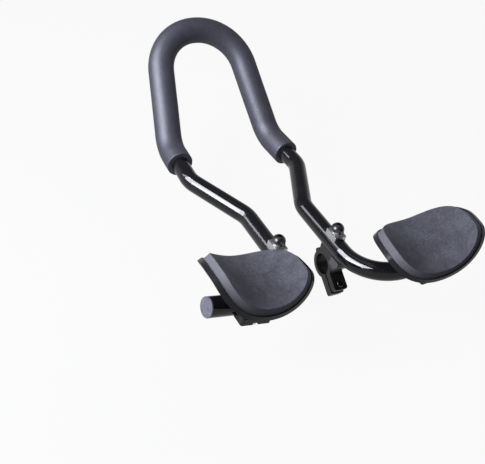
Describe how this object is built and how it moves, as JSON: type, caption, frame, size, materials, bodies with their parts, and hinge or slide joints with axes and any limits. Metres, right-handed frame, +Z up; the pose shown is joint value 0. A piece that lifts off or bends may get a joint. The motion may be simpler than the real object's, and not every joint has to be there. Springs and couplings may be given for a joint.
{
  "type": "handlebar extension",
  "caption": "Clip-on bicycle handlebar extension: bent tube loop under a foam grip, dished padded arm rests on its outward ends, hinged clamps for the handlebar.",
  "frame": {"origin": "on the handlebar axis, midway between the clamps", "axes": "+X along the handlebar to the rider's right, +Y forward, +Z up"},
  "size_m": [0.3437, 0.4742, 0.1833],
  "materials": {
    "gloss_black_tube": "gloss",
    "grip_foam": "matte foam",
    "pad_foam": "matte foam",
    "cup_plastic": "satin",
    "clamp_black": "satin",
    "plug_plastic": "satin",
    "dark_chrome": "polished dark",
    "bright_steel": "polished",
    "small_steel": "zinc plated"
  },
  "bodies": {
    "bar": {"bar_tube": "gloss_black_tube", "foam_grip": "grip_foam", "end_plug_left": "plug_plastic", "end_plug_right": "plug_plastic", "clamp_body_left": "clamp_black", "clamp_body_right": "clamp_black", "clamp_jaw_left": "clamp_black", "clamp_jaw_right": "clamp_black", "hinge_pin_left": "small_steel", "hinge_pin_right": "small_steel", "pinch_bolt_left": "dark_chrome", "pinch_bolt_right": "dark_chrome", "pinch_nut_left": "small_steel", "pinch_nut_right": "small_steel", "saddle_washer_left": "bright_steel", "saddle_washer_right": "bright_steel", "flat_washer_left": "bright_steel", "flat_washer_right": "bright_steel", "spring_washer_left": "bright_steel", "spring_washer_right": "bright_steel", "tube_bolt_left": "dark_chrome", "tube_bolt_right": "dark_chrome"},
    "left_pad": {"pad_foam_left": "pad_foam", "pad_cup_left": "cup_plastic", "pad_strap_left": "cup_plastic", "pad_bolts_left": "small_steel", "pad_nuts_left": "small_steel"},
    "right_pad": {"pad_foam_right": "pad_foam", "pad_cup_right": "cup_plastic", "pad_strap_right": "cup_plastic", "pad_bolts_right": "small_steel", "pad_nuts_right": "small_steel"}
  },
  "joints": [
    {"name": "left_pad_tilt", "type": "hinge", "parent": "bar", "child": "left_pad", "pos_m": [-0.1173, -0.0748, 0.04702], "axis": [0.9784, 0.0393, -0.2028], "range_deg": [-15, 15]},
    {"name": "right_pad_tilt", "type": "hinge", "parent": "bar", "child": "right_pad", "pos_m": [0.1173, -0.0748, 0.04702], "axis": [0.9784, -0.0393, 0.2028], "range_deg": [-15, 15]}
  ]
}
